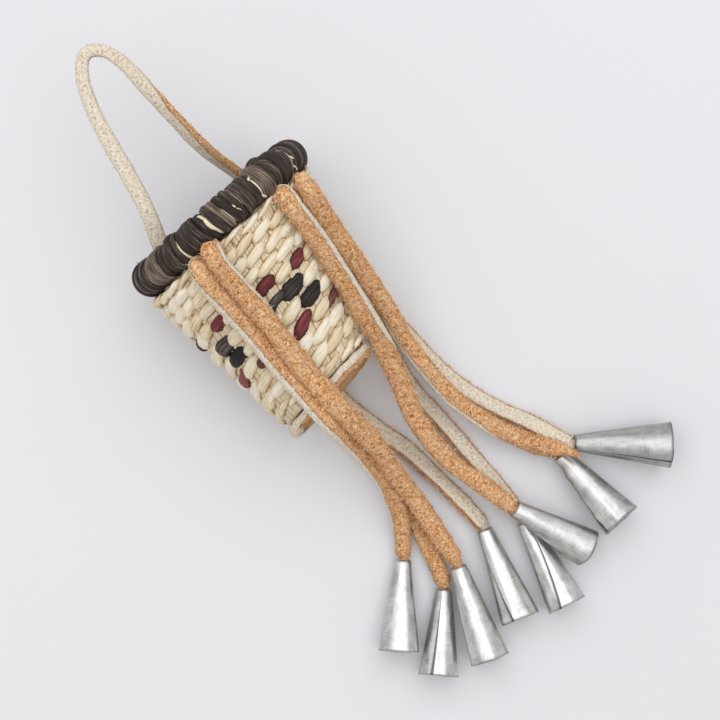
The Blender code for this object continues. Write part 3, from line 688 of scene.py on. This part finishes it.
def make_handle(material):
    inside = wall_radius(HANDLE_END_DEPTH) - WALL_THICKNESS - 0.3 - HANDLE_WIDTH / 2
    ends = []
    for angle in (HANDLE_LEFT_ANGLE, HANDLE_RIGHT_ANGLE):
        way_out = [in_basket(along, angle, HANDLE_RADIUS) for along in (7.0, 1.5, -HANDLE_PIVOT_OUT)]
        ends.append([in_basket(HANDLE_END_DEPTH, angle, inside), *way_out])
    points = smooth_curve([*ends[0], *HANDLE_ROUTE, *reversed(ends[1])], HANDLE_STEP)
    turns = [(0.0, -180), (0.5, -180), (0.6, -188), (0.68, -226), (0.86, -244), (1.0, -260)]
    widths = [(0.0, 3.3), (0.3, 3.2), (0.5, 2.5), (0.62, 2.8), (0.76, 3.5), (1.0, 3.5)]
    pale = [(0.0, 175, 365), (0.5, 175, 365), (0.6, 190, 355), (0.68, 226, 345), (0.8, 240, 340),
            (1.0, 245, 340)]
    made = strap("handle_strap", points, widths, turns, pale, material, 31, rough=0.07, fuzz=8.0)
    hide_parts("handle_lace", "handle_end_left", "handle_end_right")
    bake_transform(made)
    return made, points


# Tin cones

def creased_share(degrees, creases, flat):
    """The share of its full radius that a cone has in one direction."""
    stops = sorted(crease % 360 for crease in creases)
    degrees %= 360
    for i, start in enumerate(stops):
        end = stops[(i + 1) % len(stops)] + (360 if i + 1 == len(stops) else 0)
        for turned in (degrees, degrees + 360):
            if start <= turned <= end:
                half = radians((end - start) / 2)
                off = radians(turned - (start + end) / 2)
                return 1 - flat + flat * cos(half) / cos(off)
    return 1.0


def make_cone(name, seed, material):
    """Sheet rolled a little past one turn, creased and uneven, with its outer edge over the inner one."""
    full_length, mouth, seam, skew, most_loose, flat, cut, painted_reflection_shade, crumple, creases = CONES[name]
    place = cone_place(name)
    facing = place.to_3x3().inverted() @ UP
    top = math.degrees(math.atan2(facing.y, facing.x))
    steps = 130
    rings = 30
    sheet = Surface("painted_shade")
    for i in range(steps + 1):
        share = i / steps
        for k in range(rings + 1):
            down = k / rings
            end = seam + skew * down
            loose = most_loose * min(1.0, down * 1.6)
            degrees = end - (360 + CONE_LAP) * (1 - share)
            past = max(0.0, degrees - (end - loose))
            held = degrees - past
            radius = CONE_TOP_RADIUS + (mouth - CONE_TOP_RADIUS) * down
            radius *= creased_share(held, creases, flat * (0.15 + 0.85 * down))
            radius -= CONE_LAP_RISE * (1 - share)
            at = (cos(radians(held)) * 2, sin(radians(held)) * 2, down * 5)
            radius += 0.09 * wobble(at, 1.3, seed) * (0.3 + 0.7 * down)
            radius += crumple * exp(-(((end - degrees) / 30) ** 2)) * wobble((down * 8, 0, 0), 1.0, seed)
            turn = radians(top + held)
            ahead = radius * radians(past) * (1.0 - 0.25 * down)
            length = full_length * down
            if k == rings:
                length += 0.2 * wobble(at, 1.2, seed + 3)
            length -= cut * down ** 3 * (0.5 + 0.5 * cos(radians(held)))
            point = Vector((radius * cos(turn) - ahead * sin(turn),
                            radius * sin(turn) + ahead * cos(turn), length))
            # Painted shade: a contact shadow on the inner sheet beside the seam, a dark line on the sheet's
            # end, and a darker mouth edge for the dark reflections there
            painted_seam_shadow = exp(-(((degrees - end + 358) / 4) ** 2)) + (0.8 if i == steps else 0.0)
            painted_shade = min(1.0, painted_reflection_shade + (0.3 if k == rings else 0.0) + painted_seam_shadow * min(1.0, 0.4 + down))
            sheet.add(place @ point, (length, radians(degrees) * mouth * 0.8 + seed * 40.0), painted_shade)
    sheet.grid(steps + 1, rings + 1)
    made = sheet.make(f"{name}_rolled_tin", [material])
    thicken(made, CONE_SHEET, 1)
    made.data.set_sharp_from_angle(angle=radians(35))
    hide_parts(f"{name}_cone")
    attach(made, f"{name}_jingle")
    return made


def make_knot(name, seed, material):
    """The lace's end tied in a lump inside the cone."""
    place = cone_place(name) @ Matrix.Translation((0, 0, KNOT_DEPTH))
    points = []
    for i in range(41):
        turn = tau * i / 40 * 1.9
        points.append(place @ Vector((KNOT_RADIUS * cos(turn), KNOT_RADIUS * sin(turn),
                                      1.5 * cos(turn * 0.6 + 0.6))))
    made = strap(f"{name}_tied_end", points, [(0, 1.7), (1, 1.7)], [(0, 0), (1, 120)], PLAIN_PALE, material,
                 seed, thickness=1.5, rough=0.06, fuzz=4.0)
    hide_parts(f"{name}_knot")
    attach(made, f"{name}_tassel")
    return made


# Rim

def rim_creases(rng):
    """The creases seen in front, then more of them at random round the rest of the rim."""
    creases = list(RIM_CREASES)
    angle = creases[-1][0]
    while angle < RIM_CREASES[0][0] + 360 - 26:
        angle += rng.uniform(12, 18)
        creases.append((angle, rng.uniform(0.9, 2.2), rng.uniform(-2, 2.5), rng.random() < 0.4))
    creases.append((creases[0][0] + 360, *creases[0][1:]))
    return creases


def make_rim_core(material):
    """The bundle inside the winding. Its dark colour is painted shade for the creases between the winding's
    lumps, where it shows.
    """
    core = Surface("tone")
    around = 160
    sides = 16
    for i in range(around):
        angle = 360 * i / around
        for j in range(sides):
            turn = tau * j / sides
            uneven = wobble((angle, cos(turn) * 9, sin(turn) * 9), 7, 2)
            reach = RIM_THICKNESS / 2 - 0.85 + 0.1 * uneven
            core.add(on_hoop(angle, turn, reach), (turn * 3, angle * 0.32), 0.3)
    core.grid(around, sides, closed=True, flip=True)
    last = (around - 1) * sides
    core.faces += [(last + j, j, (j + 1) % sides, last + (j + 1) % sides) for j in range(sides)]
    core = core.make("rim_bundle", [material])
    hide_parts("rim_hoop")
    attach(core, "basket")


def rim_loops(rng, creases):
    """Each loop of the winding: its middle, width, lift, lean and tone. They form a lump between creases."""
    loops = []
    for (start, gap, lean, _), (end, next_gap, next_lean, _) in zip(creases, creases[1:]):
        start += gap / 2
        end -= next_gap / 2
        count = max(2, round((end - start) / RIM_LOOP))
        lump = rng.uniform(-0.12, 0.16)
        shade = rng.uniform(0.15, 0.55)
        for k in range(count):
            share = (k + 0.5) / count
            lift = (0.86 + lump) * (1 - abs(2 * share - 1) ** 2.4) + rng.uniform(-0.11, 0.11)
            loops.append((start + (end - start) * share, (end - start) / count * rng.uniform(1.1, 1.3), lift,
                          lean + (next_lean - lean) * share + rng.uniform(-0.5, 0.5),
                          shade + rng.uniform(-0.3, 0.3)))
    loops.append((loops[0][0] + 360, *loops[0][1:]))
    return loops


def make_winding(rng, loops, material):
    """One strip wound loop after loop. It moves on to the next loop on the rim's inner side."""
    strip = Surface("tone")
    steps = 32
    across = 9
    count = (len(loops) - 1) * steps + 1
    for i in range(count):
        whole = min(i // steps, len(loops) - 2)
        share = i / steps - whole
        turn = tau * share + math.pi
        moved = eased(min(1.0, max(0.0, (share - 0.8) / 0.2)))
        this, following = loops[whole], loops[whole + 1]
        middle, wide, lift, lean, shade = (a + (b - a) * moved for a, b in zip(this, following))
        for j in range(across):
            v = j / (across - 1) * 2 - 1
            angle = middle + lean * sin(turn) + v * wide / 2 + 0.35 * wobble((i * 0.2, v, 0), 2.5, 6)
            reach = RIM_THICKNESS / 2 - 0.93 + lift + 0.12 * v + 0.24 * (1 - abs(v) ** 2.4)
            reach += 0.12 * wobble((i * 0.3, v * 2, 4), 2.0, 8) + 0.07 * wobble((i * 0.1, v * 4, 9), 0.8, 8)
            reach -= 0.2 if abs(v) == 1 else 0.0
            far_side = max(0.0, -sin(turn)) * exp(-(((angle - 138) / 8) ** 2))
            strip.add(on_hoop(angle, turn, reach + 1.7 * far_side),
                      (i * 0.7, v * wide / 2 * 0.36 + whole * 3.7), shade)
    strip.grid(count, across)
    for _ in range(60):
        k = rng.randrange(across, len(strip.verts) - 2 * across)
        root = strip.verts[k]
        loose = any_way(rng)
        out = (root - on_hoop(strip.uvs[k][1], 0, 0)).normalized()
        along = (strip.verts[k + across] - root).normalized()
        tip = (along * 1.2 + out * 0.25 + loose * 0.5).normalized() * rng.uniform(0.8, 2.2)
        strip.sliver(k, root, tip.cross(out).normalized() * 0.06, tip)
    winding = strip.make("rim_winding", [material])
    thicken(winding, 0.2, -1)
    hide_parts("rim_wrap")
    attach(winding, "basket")


def make_wisps(rng, creases, material):
    """Pale splint: two strands down each pale crease, and the wisps."""
    strands = []
    for angle, gap, lean, pale in creases[:-1]:
        for side in (-1, 1) if pale else ():
            low, high = rng.uniform(-85, -50), rng.uniform(75, 100)
            middle = angle + 0.24 * gap * side
            strands.append((middle - lean * 0.9, low, middle + lean * 0.9, high, 0.4 * gap,
                            RIM_THICKNESS / 2 - 0.4))
    strands += [(*wisp, 0.6, RIM_THICKNESS / 2 - 0.02) for wisp in RIM_WISPS]
    straw = Surface("tone")
    rows = 16
    for seed, (angle, low, end_angle, high, half, reach) in enumerate(strands):
        first = len(straw.verts)
        for k in range(rows):
            share = k / (rows - 1)
            turn = radians(low + (high - low) * share)
            at = angle + (end_angle - angle) * share + 0.5 * wobble((seed * 5, share * 3, 0), 1.0, 3)
            rise = 0.22 * wobble((seed * 5, share * 4, 5), 1.0, 2) - 0.35 * (2 * share - 1) ** 4
            taper = half * (1 - (2 * share - 1) ** 4) + 0.06
            for off, sunk in ((-1, 0.12), (0, 0.0), (1, 0.12)):
                point = on_hoop(at + off * taper, turn, reach + rise - sunk)
                straw.add(point, (share * 6 + seed * 11, off * 0.3), 0.6)
        straw.grid(rows, 3, first)
    wisps = straw.make("rim_wisps", [material])
    thicken(wisps, 0.16, -1)
    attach(wisps, "basket")


# Woven wall

def stitch(weave, place, size, tilt, inside, seed, shade, ragged):
    """One flat stitch with blunt pointed ends, which rises out of the wall and dives back in."""
    along, angle = place
    length, width = size
    columns = 17
    rows = 11
    start = len(weave.verts)
    surface = wall_radius(along) - (WALL_THICKNESS if inside else 0)
    bend = wobble((seed * 3, 0, 0), 1.0, 12) * 0.5
    for i in range(columns):
        s = i / (columns - 1) * 2 - 1
        half = width / 2 * (1 - abs(s) ** 2.8) ** 0.8 + 0.1
        for j in range(rows):
            w = j / (rows - 1) * 2 - 1
            a = s * length / 2
            b = w * half + bend * (1 - s * s) + ragged * wobble((a, seed * 9, w), 1.3, 1)
            down = b * cos(tilt) + a * sin(tilt)
            round_wall = a * cos(tilt) - b * sin(tilt)
            crown = (1 - abs(s) ** 2.8) * (1 - 0.7 * abs(w) ** 2.3)
            lift = -0.88 + 1.28 * crown - 0.3 * s - (0.3 if abs(w) == 1 else 0.0)
            lift += 0.26 * wobble((a * 0.16, w * width * 0.5, seed * 7), 0.55, 5) * (1 - s * s)
            radius = surface + (-lift if inside else lift) + 0.05 * wobble((a, b, seed), 0.5, 3)
            radius += wall_radius(along + down) - wall_radius(along)
            turn = angle + math.degrees(round_wall / surface)
            pull = exp(-((((turn + 180) % 360 - 125) / 38) ** 2)) * min(1.0, max(0.0, along - 4.5) / 8)
            # Painted shade: the tone drops towards each stitch's edges and ends, where it dives into the wall
            weave.add(in_basket(along + down - 1.8 * pull, turn, radius + 0.4 * pull),
                      (a + seed * 1.37, b + seed * 2.11), shade - 1.3 * max(abs(w), abs(s)) ** 8)
    weave.grid(columns, rows, start, flip=inside)


def make_weave(materials):
    """Every stitch of the twining, outside and inside, as one mesh."""
    rng = random.Random(11)
    weave = Surface("tone")
    slots = []
    pattern = list(PATTERN)
    for place in HIDDEN_PLACES:
        pattern += [(at, place + offset, *look) for at, offset, *look in HIDDEN_PATTERN]
    for row, (along, count, first) in enumerate(ROWS):
        here = [(at, look) for where, at, *look in pattern if where == row]
        coloured = {round((at - first) * count / 360) % count: look for at, look in here}
        pitch = tau * wall_radius(along) / count
        spacing = (ROWS[min(row + 1, len(ROWS) - 1)][0] - ROWS[max(row - 1, 0)][0]) / 2
        for k in range(count):
            for inside in (False, True):
                angle = first + (k + rng.uniform(-0.07, 0.07)) * 360 / count
                width = min(2.9, spacing * 0.83) * rng.uniform(0.84, 1.08)
                tilt = rng.uniform(-20, -10)
                slot = 0
                if k in coloured:
                    slot, width, tilt = coloured[k]
                tilt = radians(-tilt if inside else tilt)
                size = (min(pitch * 1.42, 7.4) * rng.uniform(0.93, 1.08), width)
                before = len(weave.faces)
                place = (along + rng.uniform(-0.22, 0.22), angle)
                shade = rng.uniform(0.25, 0.95) - (0.3 if slot == BLACK else 0.0)
                stitch(weave, place, size, tilt, inside, before * 0.0037, shade, 0.42 if slot else 0.2)
                slots += [slot] * (len(weave.faces) - before)
    weave = weave.make("twined_rows", materials, slots)
    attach(weave, "basket")


def make_wall(material):
    """The upright splints, as one closed shell with a ridge for each."""
    rng = random.Random(23)
    angles = []
    # Each ridge's height also sets its colour: pale splint on top, painted shade in the grooves between
    heights = []
    angle = 0.0
    while angle < 357:
        for _ in range(rng.choice((3, 4, 4, 5))):
            wide = rng.uniform(1.6, 2.6)
            tall = rng.uniform(0.6, 1.0)
            angles += [angle, angle + wide / 2]
            heights += [0.25, tall]
            angle += wide
        angles.append(angle + 0.3)
        heights.append(0.0)
        angle += rng.uniform(0.9, 1.6)
    angles = [a * 360 / angle for a in angles]
    around = len(angles)
    floor = WALL_BOTTOM - FLOOR_THICKNESS

    # The shell's outline as distance, radius and whether it is ribbed: the bottom, outside, top and inside
    outline = [(WALL_BOTTOM, 0.0, 0), (WALL_BOTTOM, WALL_BOTTOM_RADIUS - 0.9, 0)]
    for along in (WALL_BOTTOM - 0.8, 30, 24, 18, 12, 7, WALL_TOP + 0.8):
        outline.append((along, wall_radius(along) - 0.78, 1))
    outline.append((WALL_TOP, wall_radius(WALL_TOP) - 0.95, 0))
    for along in (WALL_TOP + 0.8, 12, 20, 28):
        outline.append((along, wall_radius(along) - WALL_THICKNESS + 0.62, 1))
    outline += [(floor, wall_radius(floor) - WALL_THICKNESS + 0.5, 1), (floor, 0.0, 0)]
    shell = Surface("ridge")
    for along, radius, ribbed in outline:
        for i in range(around):
            side = 1 if radius > wall_radius(along) - 1 else -1
            reach = radius + side * ribbed * (0.34 * heights[i] - 0.16)
            point = in_basket(along, angles[i], max(reach, 0.001 * (i + 1) / around))
            shell.add(point, (along, angles[i] * 0.3), heights[i])
    shell.grid(len(outline), around, closed=True, flip=True)
    wall = shell.make("wall_splints", [material])
    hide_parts("basket_wall")
    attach(wall, "basket")


def make_base(material):
    """The leather disc, with its pale grain side towards the weave and its suede side out."""
    rng = random.Random(61)
    # Distance, radius and how pale it is, from the middle of its hidden side to the middle of its outer one
    outline = [(BASE_TOP, 0.0, 1), (BASE_TOP, 8.0, 1), (BASE_TOP, BASE_RADIUS - 0.9, 1)]
    for down, out, pale in ((0.18, -0.25, 1), (0.6, 0.05, 1), (1.2, 0.05, 1), (1.5, -0.1, 0.8),
                            (1.75, -0.15, 0.2), (2.0, -0.25, 0), (2.3, -0.7, 0)):
        outline.append((BASE_TOP + down, BASE_RADIUS + out, pale))
    outline += [(BASKET_LENGTH - 0.1, BASE_RADIUS - 1.4, 0), (BASKET_LENGTH, 7.5, 0), (BASKET_LENGTH, 3.5, 0),
                (BASKET_LENGTH, 0.0, 0)]
    around = 180
    disc = Surface("grain")
    for along, radius, pale in outline:
        edge = radius > 9
        for i in range(around):
            angle = 360 * i / around
            turn = radians(angle)
            at = Vector((cos(turn) * 10, sin(turn) * 10, along))
            uneven = 0.5 * wobble(at, 4.0, 9) + 0.16 * wobble(at, 0.7, 4) if edge else 0.0
            reach = max(radius + uneven, 0.001)
            uv = (angle * 0.2, along * 1.2) if edge else (reach * cos(turn), reach * sin(turn))
            turned = abs((angle + 100 + 180) % 360 - 180) / 50
            pale_side = min(1.0, max(0.0, 1.5 - turned)) if along < BASKET_LENGTH else 0.0
            point = in_basket(along + (0.3 * wobble(at, 3.0, 14) if edge else 0.0), angle, reach)
            disc.add(point, uv, max(float(pale), pale_side))
    disc.grid(len(outline), around, closed=True)
    middle = in_basket(BASKET_LENGTH, 0, 0)
    normals = [(v - middle).normalized() for v in disc.verts]
    add_fuzz(rng, BASE_FIBRES, range(5 * around, 11 * around), normals, disc)
    base = disc.make("base_disc", [material])
    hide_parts("base_leather")
    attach(base, "basket")


# Table and light

def make_table():
    mesh = bpy.data.meshes.new("table")
    corners = [(x * TABLE_REACH, y * TABLE_REACH, 0) for x, y in ((-1, -1), (1, -1), (1, 1), (-1, 1))]
    mesh.from_pydata(corners, [], [(0, 1, 2, 3)])
    table = new_object("table", mesh)
    graph = Graph("table", 0.9, specular=0.1)
    coordinates = graph.node("ShaderNodeTexCoord", {}).outputs["Object"]
    cloudy = graph.noise(coordinates, 3.0, 2.0)
    graph.colour(graph.ramp(cloudy, (0.3, linear(217, 218, 222)), (0.7, linear(221, 222, 226))))
    mesh.materials.append(graph.material)


def make_light():
    picture_right = Vector((cos(radians(CAMERA_TURN)), sin(radians(CAMERA_TURN)), 0))
    picture_up = UP.cross(picture_right)
    middle = Vector((*CAMERA_OVER, 0))
    data = bpy.data.lights.new("softbox", "AREA")
    data.shape = "RECTANGLE"
    data.size = SOFTBOX_SIZE
    data.size_y = SOFTBOX_SIZE
    data.energy = SOFTBOX_POWER
    data.color = (0.94, 0.97, 1.0)
    softbox = new_object("softbox", data)
    softbox.location = (middle + picture_right * SOFTBOX_RIGHT + picture_up * SOFTBOX_UP
                        + UP * SOFTBOX_HEIGHT) * MM
    softbox.rotation_euler = (softbox.location - middle * MM).to_track_quat("Z", "Y").to_euler()


def make_surround():
    """A plain soft surround that lights the piece, and the plain pale one that is seen and reflected."""
    world = bpy.data.worlds.new("studio")
    bpy.context.scene.world = world
    world.use_nodes = True
    tree = world.node_tree
    surround = tree.nodes["Background"]
    surround.inputs["Color"].default_value = (1.0, 0.96, 0.93, 1)
    surround.inputs["Strength"].default_value = SURROUND_LEVEL
    seen = tree.nodes.new("ShaderNodeBackground")
    seen.inputs["Color"].default_value = linear(231, 232, 236)
    seen.inputs["Strength"].default_value = 1.0
    path = tree.nodes.new("ShaderNodeLightPath")
    looking = path.outputs["Is Camera Ray"]
    for ray in ("Is Glossy Ray", "Is Transmission Ray"):
        either = tree.nodes.new("ShaderNodeMath")
        either.operation = "MAXIMUM"
        tree.links.new(looking, either.inputs[0])
        tree.links.new(path.outputs[ray], either.inputs[1])
        looking = either.outputs[0]
    mix = tree.nodes.new("ShaderNodeMixShader")
    tree.links.new(looking, mix.inputs[0])
    tree.links.new(surround.outputs[0], mix.inputs[1])
    tree.links.new(seen.outputs[0], mix.inputs[2])
    tree.links.new(mix.outputs[0], tree.nodes["World Output"].inputs["Surface"])


def make_laces(leather, tin):
    """Each lace with its cone and knot."""
    for seed, name in enumerate(LACES, 1):
        made, points = make_lace(name, seed, leather)
        cone = make_cone(name, seed, tin)
        knot = make_knot(name, seed + 20, leather)
    make_loose_tip(leather)


def main():
    make_camera()
    leather = lace_leather("lace_leather", 0.35)
    handle_leather = lace_leather("handle_leather", 0.6)
    make_laces(leather, tin_plate())
    handle, points = make_handle(handle_leather)
    for seed, side in enumerate(("front_left", "front_right", "back_left", "back_right"), 41):
        make_fold(side, leather, seed)

    # The weave's stitches reach the darkest stops of these ramps at their edges and ends, as painted shade
    # there
    straw = splint("pale_splint", ((138, 102, 64), (212, 186, 142), (234, 220, 190), (247, 241, 225)), 0.6)
    red = splint("red_splint", ((26, 8, 10), (58, 16, 20), (104, 34, 40), (156, 82, 82)), 0.5)
    dark_red = splint("dark_red_splint", ((26, 10, 10), (54, 22, 22), (94, 46, 44), (140, 88, 80)), 0.5)
    black = splint("black_splint", ((10, 8, 7), (24, 20, 18), (50, 44, 40), (112, 102, 94)), 0.6)
    bark = splint("bark_strip", ((13, 10, 8), (27, 21, 18), (64, 51, 44), (150, 132, 116)), 0.6, 9.0)
    # The bundle's dark colour is painted shade for the creases of the rim's winding
    bundle = splint("bundle_crease_shade", ((18, 14, 11), (34, 27, 22), (62, 50, 40), (110, 90, 70)), 0.8)
    rng = random.Random(4)
    creases = rim_creases(rng)
    make_rim_core(bundle)
    make_winding(rng, rim_loops(rng, creases), bark)
    make_wisps(rng, creases, straw)
    make_wall(warp_splints())
    make_weave([straw, red, black, dark_red])
    make_base(leather)
    make_table()
    make_light()
    make_surround()
    bpy.context.scene.view_settings.view_transform = "Standard"


main()
